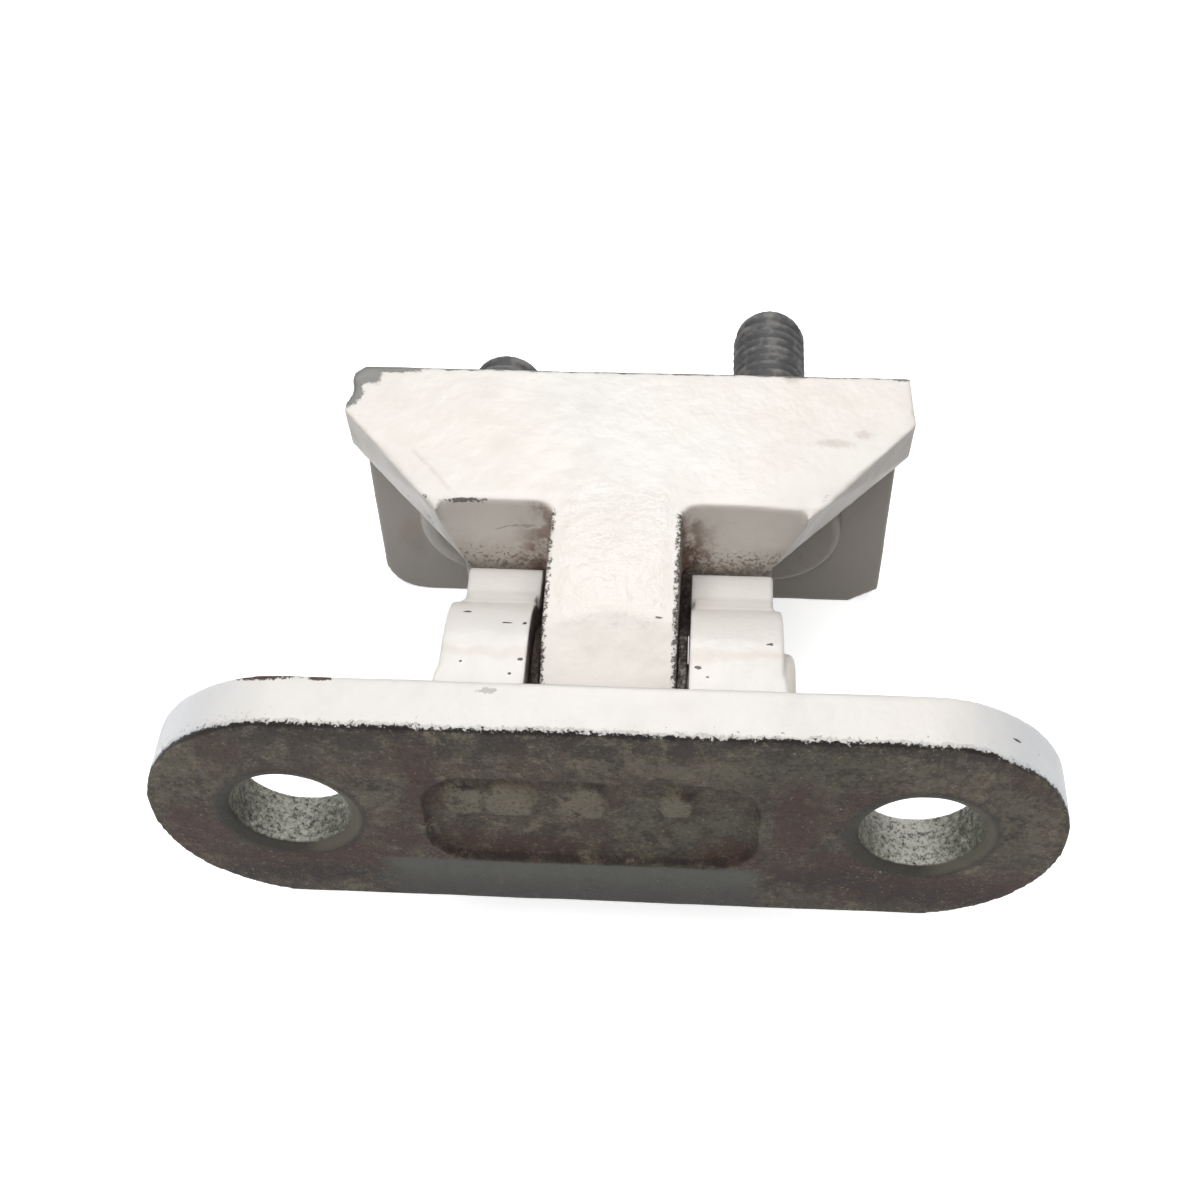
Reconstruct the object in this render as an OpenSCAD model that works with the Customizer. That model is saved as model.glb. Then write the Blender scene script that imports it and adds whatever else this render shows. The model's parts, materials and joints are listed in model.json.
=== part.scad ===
// Heavy forged leaf hinge: a bolted pillar leaf with a clevis, a T-shaped stud leaf
// with a tongue, a pressed pin and two flanged bushes.
// X runs along the pin, Y points away from the pillar, Z is up. The origin is the
// centre of the pillar leaf's mounting face, which lies in the plane Y = 0.

/* [Pillar flange] */
// Length of the flange, along the pin
flange_len = 80; // [76:1:90]
// Height of the flange; its ends are full half circles
flange_h = 26.5; // [24:0.5:28]
// Thickness of the flange
flange_t = 5.5; // [5:0.25:6]
// Distance between the two bolt holes
bolt_spacing = 55; // [50:1:58]
// Diameter of a bolt hole
bolt_hole_d = 10.5; // [8.5:0.25:11]

/* [Clevis] */
// Height of the pin axis above the mounting face
pin_y = 13; // [12.75:0.25:13.5]
// Diameter of the hinge pin
pin_d = 8; // [7:0.5:8]
// Radius of the round barrel of each ear
barrel_r = 9.1; // [8.8:0.1:9.4]
// Width between the two machined cheeks
cheek_gap = 14; // [13.8:0.1:15]
// Width over the outside of the two barrels
clevis_w = 30.2; // [29.4:0.1:31]
// Sideways offset of the ears' outer sides and the pin from the middle
clevis_shift = 0.3; // [0:0.1:0.6]
// Height of the stop lug's top above the pin axis
lug_top = 3; // [2:0.25:3.5]
// Distance from the mounting face to the stop lug's end
lug_end = 27; // [26:0.25:27.5]

/* [Stud leaf] */
// Height of the flat top above the pin axis
plate_top = 10.5; // [10:0.25:11]
// Thickness of the trapezoid plate at its edge
plate_t = 4.8; // [4:0.2:5.2]
// Width over the tips of the trapezoid plate
plate_w = 55.6; // [54:0.2:58]
// Width of the trapezoid plate at its front edge
plate_front_w = 34.8; // [33:0.2:38]
// Distance from the mounting face to the rear face
rear_y = 46.4; // [45:0.2:50]
// Thickness of the hanging rear flange
rear_t = 4.9; // [4.5:0.1:5.5]
// Depth of the rear flange below the pin axis
rear_drop = 18.4; // [17:0.2:20]
// Width of the tongue between the ears
tongue_w = 12.2; // [11.8:0.1:12.4]
// Sideways offset of the plate, rear flange and studs from the tongue
plate_shift = 0.4; // [0:0.1:0.8]
// Gap between the stop lugs and the stud leaf when they meet
stop_gap = 0.35; // [0.3:0.05:0.5]

/* [Studs] */
// Diameter over the stud threads
stud_d = 8; // [6:1:8]
// Distance between the two studs
stud_spacing = 29; // [28:1:32]
// Depth of the stud axes below the pin axis
stud_drop = 6; // [5:0.5:8]
// Length of the long stud behind the rear face
long_stud_len = 25.5; // [20:0.5:30]
// Length of the short stud behind the rear face
short_stud_len = 16.5; // [12:0.5:18]

/* [Hidden] */
$fn = 96;
overlap = 0.01;
press = 0.02;          // radial interference of a pressed fit
running = 0.03;        // radial clearance between the pin and its bushes

pin_r = pin_d / 2;
bush_wall = 1;
bush_r = pin_r + bush_wall;
side_play = 0.1;
bush_flange_t = (cheek_gap - tongue_w) / 2 - side_play;
knuckle_gap = 0.5;     // gap between the tongue's round knuckle and the flange
knuckle_r = pin_y - flange_t - knuckle_gap;
bush_flange_r = knuckle_r;
pin_head_r = 5.2;
pin_head_t = 1.2;
pin_head_chamfer = 0.8;

lug_in = 6.9;          // inner side of a stop lug, from the middle
lug_out = 14.5;        // outer side of a stop lug, from the middle
lug_bottom = -8;
lug_round = 0.8;
neck_start = 2.5;      // the ear narrows to its lug between these two distances
neck_end = 0.5;        // from the end of the barrel
ear_root_out = 16.1;   // outer side of an ear where it meets the flange
ear_flare_y = 10.5;    // where the ear's outer flare ends

pocket_w = 29;
pocket_h = 12.6;
pocket_r = 4;
pocket_depth = 0.6;
pocket_x = -1;

front_y = lug_end + stop_gap;
tip_run = 6.4;         // length of the plate's nearly parallel sides
tip_y = rear_y - tip_run;
rear_taper = 0.3;      // how far each of those sides draws in towards the rear face
draft = 0.4;           // how much narrower the plate's underside is than its top
block_w = 29.4;        // width of the stop block behind the lugs
scoop_depth = 1.3;     // how far the front face leans back at the top
scoop_margin = 0.3;    // ridge left standing at the outer end of that face
block_bottom = -8;
block_wall = 4.5;
block_lip = 1;         // depth over which the wings run down onto the block
web_w = 12;            // width of the web between block and rear flange
web_run = 3;           // length over which the block narrows to the web
tongue_bottom = -knuckle_r;
crease_drop = 0.8;     // the tongue's top edge is broken by this much
crease_y = pin_y + 3.4;
crease_run = 1.3;

rear_front_y = rear_y - rear_t;
rear_w = 53.4;
rear_round = 4.5;
rear_chamfer = 3;
rear_chamfer_h = 2.1;
rear_tuck = 1;         // how far the flange's top stays below the plate's top

stud_head_r = 7.4;
stud_head_t = 2;
stud_r = stud_d / 2;
press_step = 0.4;
stud_press_r = stud_r + press_step;   // thicker part that is pressed into the flange
long_tip = 2.5;        // height of the long stud's domed end
short_tip = 1.5;       // height of the short stud's flatter end

paint = [0.93, 0.90, 0.86];
dark_steel = [0.22, 0.23, 0.24];
steel = [0.62, 0.60, 0.55];
bronze = [0.45, 0.42, 0.37];

// Places a shape drawn in the Y-Z plane so that it runs from x0 to x1.
module along_x(x0, x1) {
    translate([x0, 0, 0])
        rotate([90, 0, 90])
            linear_extrude(x1 - x0)
                children();
}

// A round rod along X, from x0 to x1, on the pin axis.
module pin_rod(r, x0, x1) {
    translate([x0, pin_y, 0])
        rotate([0, 90, 0])
            cylinder(r = r, h = x1 - x0);
}

// A round rod along Y, from y0 to y1.
module rod_y(x, z, y0, y1, r) {
    translate([x, y0, z])
        rotate([-90, 0, 0])
            cylinder(r = r, h = y1 - y0);
}

module rounded_rect(w, h, r) {
    square([w - 2 * r, h], center = true);
    square([w, h - 2 * r], center = true);
    for (sx = [-1, 1], sy = [-1, 1])
        translate([sx * (w / 2 - r), sy * (h / 2 - r)])
            circle(r);
}

module flange_outline() {
    square([flange_len - flange_h, flange_h], center = true);
    for (side = [-1, 1])
        translate([side * (flange_len - flange_h) / 2, 0])
            circle(flange_h / 2);
}

// Side view of one ear: flat-topped arm, round barrel and low stop lug.
module ear_profile() {
    lug_h = lug_top - lug_bottom;
    translate([flange_t - overlap, -barrel_r])
        square([pin_y - flange_t + overlap, 2 * barrel_r]);
    translate([pin_y, 0])
        circle(barrel_r);
    translate([pin_y, lug_bottom])
        square([lug_end - pin_y, lug_h - lug_round]);
    translate([pin_y, lug_bottom])
        square([lug_end - pin_y - lug_round, lug_h]);
    translate([lug_end - lug_round, lug_top - lug_round])
        circle(lug_round);
}

// Top view of one ear: flared root, machined cheek and narrower lug.
module ear_plan(shift) {
    cheek = cheek_gap / 2;
    root = ear_root_out + shift;
    side = clevis_w / 2 + shift;
    lug_side = lug_out + shift;
    barrel_end = pin_y + barrel_r;
    polygon([
        [cheek, flange_t - overlap], [root, flange_t - overlap],
        [side, ear_flare_y], [side, barrel_end - neck_start],
        [lug_side, barrel_end - neck_end], [lug_side, lug_end],
        [lug_in, lug_end], [lug_in, barrel_end], [cheek, barrel_end]
    ]);
}

// An ear on the +X side whose outer side stands out by this much more.
module ear(shift) {
    intersection() {
        along_x(lug_in - 1, ear_root_out + 1)
            ear_profile();
        translate([0, 0, -barrel_r - 1])
            linear_extrude(2 * barrel_r + 2)
                ear_plan(shift);
    }
}

module pillar_leaf() {
    color(paint)
    difference() {
        union() {
            translate([0, flange_t, 0])
                rotate([90, 0, 0])
                    linear_extrude(flange_t)
                        flange_outline();
            ear(clevis_shift);
            mirror([1, 0, 0])
                ear(-clevis_shift);
        }
        pin_rod(pin_r - press, -ear_root_out - 1, ear_root_out + 1);
        for (side = [-1, 1])
            rod_y(side * bolt_spacing / 2, 0, -1, flange_t + 1, bolt_hole_d / 2);
        translate([pocket_x, pocket_depth, 0])
            rotate([90, 0, 0])
                linear_extrude(pocket_depth + 1)
                    rounded_rect(pocket_w, pocket_h, pocket_r);
    }
}

// Top view of the trapezoid plate.
module plate_plan() {
    polygon([
        [-plate_front_w / 2, front_y], [plate_front_w / 2, front_y],
        [plate_w / 2, tip_y], [plate_w / 2 - rear_taper, rear_y],
        [-plate_w / 2 + rear_taper, rear_y], [-plate_w / 2, tip_y]
    ]);
}

// The plate with its wings: thin at the tips, deeper and narrower at the front.
module wings() {
    skin = 0.05;
    under_w = plate_w - draft;
    hull() {
        translate([0, 0, plate_top - skin])
            linear_extrude(skin)
                plate_plan();
        translate([-under_w / 2, tip_y, plate_top - plate_t])
            cube([under_w, rear_y - tip_y, skin]);
        translate([-block_w / 2 - plate_shift, front_y, lug_top])
            cube([block_w, block_lip, skin]);
    }
}

// Cuts the top of the wings' front faces back, on both sides of the tongue.
module front_scoops() {
    reach = plate_front_w / 2 - scoop_margin;
    for (x0 = [-reach, tongue_w / 2 - plate_shift])
        along_x(x0, x0 < 0 ? -tongue_w / 2 - plate_shift : reach)
            polygon([
                [front_y - 1, lug_top], [front_y, lug_top],
                [front_y + scoop_depth, plate_top + overlap], [front_y - 1, plate_top + overlap]
            ]);
}

// Top view of the stop block and of the web that ties it to the rear flange.
module block_plan() {
    back = front_y + block_wall;
    half = block_w / 2;
    polygon([
        [-half, front_y], [half, front_y], [half, back],
        [web_w / 2, back + web_run], [web_w / 2, rear_front_y + overlap],
        [-web_w / 2, rear_front_y + overlap], [-web_w / 2, back + web_run], [-half, back]
    ]);
}

module wings_and_block() {
    difference() {
        union() {
            wings();
            translate([-plate_shift, 0, block_bottom])
                linear_extrude(lug_top - block_bottom + 1)
                    block_plan();
        }
        front_scoops();
    }
}

// Front view of the hanging rear flange: one lower corner round, the other cut off.
module rear_flange_outline() {
    half = rear_w / 2;
    difference() {
        translate([-half, -rear_drop])
            square([rear_w, rear_drop + plate_top - rear_tuck]);
        translate([-half, -rear_drop])
            difference() {
                translate([-1, -1])
                    square(rear_round + 1);
                translate([rear_round, rear_round])
                    circle(rear_round);
            }
        polygon([
            [half - rear_chamfer, -rear_drop - overlap],
            [half + overlap, -rear_drop - overlap],
            [half + overlap, -rear_drop + rear_chamfer_h]
        ]);
    }
}

// Side view of the tongue: flat top, broken edge, straight nose and round knuckle.
module tongue_profile() {
    nose_y = crease_y - crease_run;
    nose_z = plate_top - crease_drop;
    reach = norm([nose_y - pin_y, nose_z]);
    touch = atan2(nose_z, nose_y - pin_y) + acos(knuckle_r / reach);
    translate([pin_y, 0])
        circle(knuckle_r);
    polygon([
        [pin_y, tongue_bottom],
        [pin_y + knuckle_r * cos(touch), knuckle_r * sin(touch)],
        [nose_y, nose_z], [crease_y, plate_top],
        [front_y + overlap, plate_top], [front_y + overlap, tongue_bottom]
    ]);
}

module stud_leaf() {
    color(paint)
    difference() {
        union() {
            translate([plate_shift, 0, 0])
                wings_and_block();
            along_x(-tongue_w / 2, tongue_w / 2)
                tongue_profile();
            translate([plate_shift, rear_y, 0])
                rotate([90, 0, 0])
                    linear_extrude(rear_t)
                        rear_flange_outline();
        }
        pin_rod(bush_r - press, -tongue_w, tongue_w);
        for (side = [-1, 1])
            rod_y(plate_shift + side * stud_spacing / 2, -stud_drop,
                rear_front_y - 1, rear_y + 1, stud_press_r - press);
    }
}

module hinge_pin() {
    half = clevis_w / 2;
    chamfer = 0.6;
    color(steel)
    translate([clevis_shift, 0, 0]) {
        pin_rod(pin_r, -half + chamfer, half + overlap);
        translate([-half, pin_y, 0])
            rotate([0, 90, 0])
                cylinder(r1 = pin_r - chamfer, r2 = pin_r, h = chamfer);
        translate([half, pin_y, 0])
            rotate([0, 90, 0])
                cylinder(r = pin_head_r, h = pin_head_t * 0.5);
        translate([half + pin_head_t * 0.5, pin_y, 0])
            rotate([0, 90, 0])
                cylinder(r1 = pin_head_r, r2 = pin_head_r - pin_head_chamfer, h = pin_head_t * 0.5);
    }
}

// The right-hand flanged bush; its collar fills the gap between tongue and ear.
module bush() {
    half = tongue_w / 2;
    middle_gap = 0.4;
    difference() {
        union() {
            pin_rod(bush_r, middle_gap, half + overlap);
            pin_rod(bush_flange_r, half, half + bush_flange_t);
        }
        pin_rod(pin_r + running, 0, half + bush_flange_t + 1);
    }
}

module bush_right() {
    color(bronze)
        bush();
}

module bush_left() {
    color(bronze)
        mirror([1, 0, 0])
            bush();
}

// A headed stud pressed through the rear flange, standing out by the given length.
module stud(x, length, tip) {
    z = -stud_drop;
    end_y = rear_y + length;
    dome_r = (stud_r * stud_r + tip * tip) / (2 * tip);
    color(dark_steel) {
        rod_y(x, z, rear_front_y - stud_head_t, rear_front_y, stud_head_r);
        rod_y(x, z, rear_front_y - overlap, rear_y, stud_press_r);
        intersection() {
            rod_y(x, z, rear_y - overlap, end_y, stud_r);
            translate([x, end_y - dome_r, z])
                union() {
                    sphere(dome_r);
                    rod_y(0, 0, -length, dome_r - tip, stud_r + 1);
                }
        }
    }
}

module stud_long() {
    stud(plate_shift + stud_spacing / 2, long_stud_len, long_tip);
}

module stud_short() {
    stud(plate_shift - stud_spacing / 2, short_stud_len, short_tip);
}

pillar_leaf();
stud_leaf();
hinge_pin();
bush_left();
bush_right();
stud_long();
stud_short();
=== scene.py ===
# %% [markdown]
# # A heavy leaf hinge in old white paint
# The hinge has two forged leaves. The pillar leaf is bolted to a post, the stud leaf is
# nutted to a door, and a pressed pin joins them. The exact sizes come from the packed
# model. This lesson gives every piece its worn edges, threads, chips and stains.
# All lengths below are written in millimetres and turned into Blender's metres by MM.

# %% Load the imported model
import json
import math
import bmesh
import bpy
from mathutils import Matrix, Vector

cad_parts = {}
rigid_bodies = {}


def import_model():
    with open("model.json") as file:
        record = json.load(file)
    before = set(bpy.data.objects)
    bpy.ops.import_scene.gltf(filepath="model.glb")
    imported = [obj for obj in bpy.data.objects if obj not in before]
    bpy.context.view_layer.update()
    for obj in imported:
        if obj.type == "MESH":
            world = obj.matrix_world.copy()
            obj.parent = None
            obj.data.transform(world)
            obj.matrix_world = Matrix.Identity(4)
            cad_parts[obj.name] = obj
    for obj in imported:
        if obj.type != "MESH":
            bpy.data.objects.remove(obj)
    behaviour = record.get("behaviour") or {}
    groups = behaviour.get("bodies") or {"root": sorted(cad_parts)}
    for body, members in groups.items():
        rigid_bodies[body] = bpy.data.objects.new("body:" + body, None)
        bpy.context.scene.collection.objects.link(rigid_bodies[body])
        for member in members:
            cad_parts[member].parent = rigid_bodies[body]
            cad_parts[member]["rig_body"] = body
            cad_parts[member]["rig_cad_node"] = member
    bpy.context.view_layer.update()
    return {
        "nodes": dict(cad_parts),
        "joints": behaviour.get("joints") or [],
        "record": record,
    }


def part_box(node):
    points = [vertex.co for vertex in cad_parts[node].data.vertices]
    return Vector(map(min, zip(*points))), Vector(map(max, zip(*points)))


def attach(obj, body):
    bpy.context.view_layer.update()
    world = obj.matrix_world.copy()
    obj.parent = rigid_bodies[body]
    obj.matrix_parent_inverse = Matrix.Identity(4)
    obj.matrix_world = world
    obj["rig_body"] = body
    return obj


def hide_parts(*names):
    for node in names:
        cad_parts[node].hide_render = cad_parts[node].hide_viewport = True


for leftover in list(bpy.data.objects):
    bpy.data.objects.remove(leftover)
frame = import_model()
MM = 0.001
print("nodes:", sorted(frame["nodes"]))

# %% [markdown]
# ## Sizes that drive the details
# A detail has to follow the part it sits on, so its place is worked out from the boxes
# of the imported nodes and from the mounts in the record. Only sizes that the plain model
# doesn't know, such as a wall or a gap, are typed in.

# %% Read the driving sizes


def node_box(name):
    """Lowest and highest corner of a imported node, in mm."""
    low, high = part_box(name)
    return low / MM, high / MM


mounts = {mount["name"]: mount for mount in frame["record"]["mounts"]}
pillar_high = node_box("pillar_leaf")[1]
leaf_low, leaf_high = node_box("stud_leaf")
pin_low, pin_high = node_box("hinge_pin")
bush_low, bush_high = node_box("bush_right")

bolt_x = mounts["pillar_bolts"]["dims"]["spacing_x_mm"] / 2
bolt_r = mounts["pillar_bolts"]["dims"]["hole_r_mm"]
stud_r = mounts["leaf_studs"]["dims"]["stud_r_mm"]
stud_x = mounts["leaf_studs"]["dims"]["spacing_x_mm"] / 2
leaf_middle, rear_y, stud_z = (value / MM for value in mounts["leaf_studs"]["pos_m"])
pin_y = frame["joints"][0]["pos_m"][1] / MM
COLLAR_T = 0.8
CHEEK_GAP = 0.1
LUG_GAP = 0.35
SIDE_STRAIGHT = 6.4
REAR_FLANGE_T = 4.9
plate_left, plate_right, plate_top = leaf_low.x, leaf_high.x, leaf_high.z
tongue_half = bush_high.x - COLLAR_T
cheek_x = bush_high.x + CHEEK_GAP
front_y = pillar_high.y + LUG_GAP
tip_y = rear_y - SIDE_STRAIGHT
rear_front_y = rear_y - REAR_FLANGE_T
lug_top = 3.0
print("bolt holes at x =", bolt_x, "radius", bolt_r, "- studs: radius", stud_r, "at z =", stud_z)
print("pin axis at y =", pin_y, "- rear face at y =", rear_y)

# %% [markdown]
# ## A few bench helpers
# Blender's operators act on whatever is selected, so every step first selects one object
# and nothing else. Faces and edges are picked in code by where they are or which way
# they look, which is what a hand does on screen with a mouse.

# %% Selecting, placing and cutting
SMOOTH_ANGLE = math.radians(35)


def only(piece):
    """Selects one object and nothing else."""
    bpy.ops.object.select_all(action="DESELECT")
    piece.select_set(True)
    bpy.context.view_layer.objects.active = piece
    return piece


def placed(name):
    """Names the object just added and puts its place into its mesh."""
    piece = bpy.context.object
    piece.name = name
    only(piece)
    bpy.ops.object.transform_apply(location=True, rotation=True, scale=True)
    return piece


def edit(piece):
    """Opens a piece in edit mode with nothing selected."""
    only(piece)
    bpy.ops.object.mode_set(mode="EDIT")
    bpy.ops.mesh.select_all(action="DESELECT")


def close_edit():
    """Closes edit mode, which writes the edits into the mesh."""
    bpy.ops.object.mode_set(mode="OBJECT")


def pick(piece, kind, wanted):
    """In edit mode, selects the faces or edges for which wanted(element) is true."""
    bpy.ops.mesh.select_mode(type=kind)
    bpy.ops.mesh.select_all(action="DESELECT")
    shape = bmesh.from_edit_mesh(piece.data)
    for element in (shape.faces if kind == "FACE" else shape.edges):
        if wanted(element):
            element.select_set(True)
    bmesh.update_edit_mesh(piece.data)


def finish_modifier(piece, kind, **settings):
    """Adds a modifier with its settings and applies it."""
    modifier = piece.modifiers.new(kind.lower(), kind)
    for setting, value in settings.items():
        setattr(modifier, setting, value)
    only(piece)
    bpy.ops.object.modifier_apply(modifier=modifier.name)


def carve(piece, tool, operation="DIFFERENCE"):
    """Cuts a tool out of a piece, or joins it on, and throws the tool away."""
    finish_modifier(piece, "BOOLEAN", operation=operation, solver="EXACT", object=tool)
    bpy.data.objects.remove(tool)


def block(name, low, high):
    """A box between two corners in mm, as a cutting or joining tool."""
    low, high = Vector(low), Vector(high)
    bpy.ops.mesh.primitive_cube_add(size=1, location=(low + high) / 2 * MM, scale=(high - low) * MM)
    return placed(name)


def cone_along_y(name, x, z, start, end, start_r, end_r, sides=96):
    """A round tool or blank whose axis runs along Y, from one radius to another."""
    middle = Vector((x, (start + end) / 2, z)) * MM
    bpy.ops.mesh.primitive_cone_add(vertices=sides, radius1=start_r * MM, radius2=end_r * MM,
                                    depth=(end - start) * MM, location=middle,
                                    rotation=(-math.pi / 2, 0, 0))
    return placed(name)


def slice_off(piece, point, normal):
    """Cuts away all that lies beyond a plane and closes the cut."""
    edit(piece)
    bpy.ops.mesh.select_all(action="SELECT")
    bpy.ops.mesh.bisect(plane_co=Vector(point) * MM, plane_no=normal, use_fill=True,
                        clear_outer=True)
    close_edit()


def plane_through(a, b, c):
    """The upward normal of the plane through three points."""
    a, b, c = Vector(a), Vector(b), Vector(c)
    normal = (b - a).cross(c - a).normalized()
    return normal if normal.z > 0 else -normal


def report(piece):
    """Prints a piece's size in triangles and whether its mesh is closed."""
    shape = bmesh.new()
    shape.from_mesh(piece.data)
    open_edges = sum(not edge.is_manifold for edge in shape.edges)
    area = sum(face.calc_area() for face in shape.faces) / MM ** 2
    triangles = sum(len(face.verts) - 2 for face in shape.faces)
    shape.free()
    print(f"{piece.name}: {triangles} triangles, {open_edges} open edges, {area:.0f} mm2")
    return area


# %% [markdown]
# ## From a machined body to a forged one
# A forging has no knife edges: the die leaves small radii everywhere and the faces are
# never quite flat. Bevelling every edge of a body full of bores is fragile, so the piece
# is wrapped in a fine, even skin of small squares instead, which is then relaxed to round
# the edges and pressed in a little by a cloudy pattern. The pattern only pushes inwards,
# so the forging never grows past its true size.

# %% Copy a node and forge it


def merged_copy(node, name):
    """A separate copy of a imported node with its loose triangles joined."""
    only(frame["nodes"][node])
    bpy.ops.object.duplicate()
    piece = bpy.context.object
    bpy.ops.object.parent_clear(type="CLEAR_KEEP_TRANSFORM")
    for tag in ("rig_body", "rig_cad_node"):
        del piece[tag]
    piece.name = name
    piece.data.materials.clear()
    edit(piece)
    bpy.ops.mesh.select_all(action="SELECT")
    bpy.ops.mesh.remove_doubles(threshold=1e-6)
    close_edit()
    return piece


def forge(piece, squares, rounding, dents, dent_size):
    """Wraps a piece in about this many squares, rounds its edges and dents it inwards."""
    area = report(piece)
    finish_modifier(piece, "REMESH", mode="VOXEL", voxel_size=math.sqrt(area / squares) * MM)
    finish_modifier(piece, "SMOOTH", factor=0.5, iterations=rounding)
    clouds = bpy.data.textures.new(piece.name + "_dents", "CLOUDS")
    clouds.noise_scale = dent_size * MM
    clouds.noise_depth = 3
    finish_modifier(piece, "DISPLACE", texture=clouds, texture_coords="LOCAL",
                    strength=dents * MM, mid_level=1.0)
    only(piece)
    bpy.ops.object.shade_smooth()
    report(piece)


# %% [markdown]
# ## The pillar leaf
# This leaf is a thick flange with round ends and two ears. On the mounting face the bolt
# holes have a broken rim, and a shallow pocket holds worn raised pads from the forging
# die. The rims are cut with short cones, and the pads are low blocks joined on before the
# forging skin goes over everything, so that they come out as soft as worn marks are.

# %% Break the bolt holes' rims and add the worn pads
RIM = 1.1
RIM_DEPTH = 0.5
OVERCUT = 0.1
pillar = merged_copy("pillar_leaf", "pillar_leaf_forging")
for side in (-1, 1):
    carve(pillar, cone_along_y("rim", side * bolt_x, 0, -OVERCUT, RIM_DEPTH,
                               bolt_r + RIM + OVERCUT, bolt_r))

POCKET_MIDDLE = -1.0
PAD_TOP = 0.25
PAD_BACK = 0.9
PAD_Z = 2.7
PADS = [(-11.0, 3.1, 4.0), (-7.0, 3.8, 4.2), (-0.8, 3.7, 4.4), (7.4, 2.6, 3.0)]
for pad_x, pad_w, pad_h in PADS:
    low = (POCKET_MIDDLE + pad_x - pad_w / 2, PAD_TOP, PAD_Z - pad_h / 2)
    high = (POCKET_MIDDLE + pad_x + pad_w / 2, PAD_BACK, PAD_Z + pad_h / 2)
    carve(pillar, block("pad", low, high), "UNION")
print("broken rims: 2, worn pads:", len(PADS))

# %% Fill the corner between each round barrel and its stop lug
BARREL_END = 21.6
NECK_RUN = 2.0
NECK_RISE = 2.1
NECK_ROOT = 0.75
NECK_SPANS = [(-14.1, -cheek_x - 0.3), (cheek_x + 0.3, 14.7)]
for low_x, high_x in NECK_SPANS:
    neck = block("neck", (low_x, BARREL_END - NECK_ROOT - 0.05, lug_top - 0.5),
                 (high_x, BARREL_END + NECK_RUN + 0.2, lug_top + NECK_RISE + 0.3))
    foot = (low_x, BARREL_END + NECK_RUN, lug_top)
    across = (high_x, BARREL_END + NECK_RUN, lug_top)
    root = (low_x, BARREL_END - NECK_ROOT, lug_top + NECK_RISE)
    slice_off(neck, foot, plane_through(foot, across, root))
    carve(pillar, neck, "UNION")
print("filled corners:", len(NECK_SPANS))

# %% Forge the pillar leaf
SQUARES = 90000
forge(pillar, SQUARES, rounding=5, dents=0.12, dent_size=5)

# %% [markdown]
# ## The stud leaf
# Seen from above it is a T: a trapezoid plate with a tongue. The die left a fillet where
# each wing meets the tongue and a shallow facet along each slanted side, and wear has
# rounded the rear left corner. Facets and the corner are sliced off with bisect, which is
# cleaner than moving single points. Each fillet is a leaning column with a round hollow.

# %% Slice the facets and the worn corner
stud = merged_copy("stud_leaf", "stud_leaf_forging")
FRONT_HALF = 17.4
front_left = leaf_middle - FRONT_HALF
front_right = leaf_middle + FRONT_HALF

left_tip = (plate_left, tip_y, plate_top)
left_ridge = (front_left + 3.3, front_y + 1.3, plate_top)
left_drop = (front_left, front_y + 0.7, plate_top - 0.45)
slice_off(stud, left_tip, plane_through(left_tip, left_ridge, left_drop))

right_tip = (plate_right - 3.8, tip_y + 0.6, plate_top)
right_ridge = (front_right - 6.4, front_y + 1.3, plate_top)
right_drop = (front_right + 5.2, front_y + 6.3, plate_top - 0.5)
slice_off(stud, right_tip, plane_through(right_tip, right_ridge, right_drop))

CORNER = 1.3
slice_off(stud, (plate_left + CORNER, rear_y, plate_top), (-1, 1, 0))
HOLLOW_R = 3.6
HOLLOW_DEPTH = 0.5
bpy.ops.mesh.primitive_cylinder_add(
    vertices=64, radius=HOLLOW_R * MM, depth=12 * MM,
    location=Vector((plate_left - HOLLOW_R + HOLLOW_DEPTH, tip_y + 2.9, plate_top)) * MM)
carve(stud, placed("side_hollow"))
report(stud)

# %% Fill the two inner corners
FILLET = 1.5
FILLET_BURY = 0.3
FRONT_RAKE = 1.3
lean = math.atan(FRONT_RAKE / (plate_top - lug_top))
for side in (-1, 1):
    root_x = side * tongue_half
    far_x = root_x + side * FILLET
    buried_x = root_x - side * FILLET_BURY
    low = (min(buried_x, far_x), -FILLET, -1)
    high = (max(buried_x, far_x), 0.8, plate_top)
    column = block("fillet", low, high)
    bpy.ops.mesh.primitive_cylinder_add(vertices=64, radius=FILLET * MM, depth=40 * MM,
                                        location=(far_x * MM, -FILLET * MM, 0))
    carve(column, placed("hollow"))
    column.matrix_world = (Matrix.Translation(Vector((0, front_y, lug_top)) * MM)
                           @ Matrix.Rotation(-lean, 4, "X"))
    only(column)
    bpy.ops.object.transform_apply(location=True, rotation=True, scale=True)
    slice_off(column, (0, 0, plate_top - 0.02), (0, 0, 1))
    slice_off(column, (0, 0, lug_top + 0.1), (0, 0, -1))
    carve(stud, column, "UNION")
print("fillets lean by", round(math.degrees(lean), 1), "degrees")

# %% Forge the stud leaf
forge(stud, SQUARES, rounding=5, dents=0.14, dent_size=6)

# %% [markdown]
# ## The studs
# Each stud is one turned piece: a head that bears on the flange, a shank pressed through
# it, and a thread with a domed end. A thread is a ramp wound round a rod. Its cross-section
# is a rod whose radius rises and falls once round the circle, and each slice further along
# is the same shape turned a little. So one turn is made by extruding that outline and
# turning it step by step, the Array modifier repeats the turn, and the last rings are
# drawn in to make the dome.

# %% The thread and its domed end
PITCH = 1.25
THREAD_DEPTH = 0.42
ROOT_FLAT = 1.15
STEPS = 24
DOME_RINGS = 6
DOME_FLAT = 0.06


def quarter(step):
    """Cosine and sine of a step along a quarter circle of DOME_RINGS steps."""
    angle = step / DOME_RINGS * math.pi / 2
    return max(math.cos(angle), DOME_FLAT), math.sin(angle)


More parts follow.
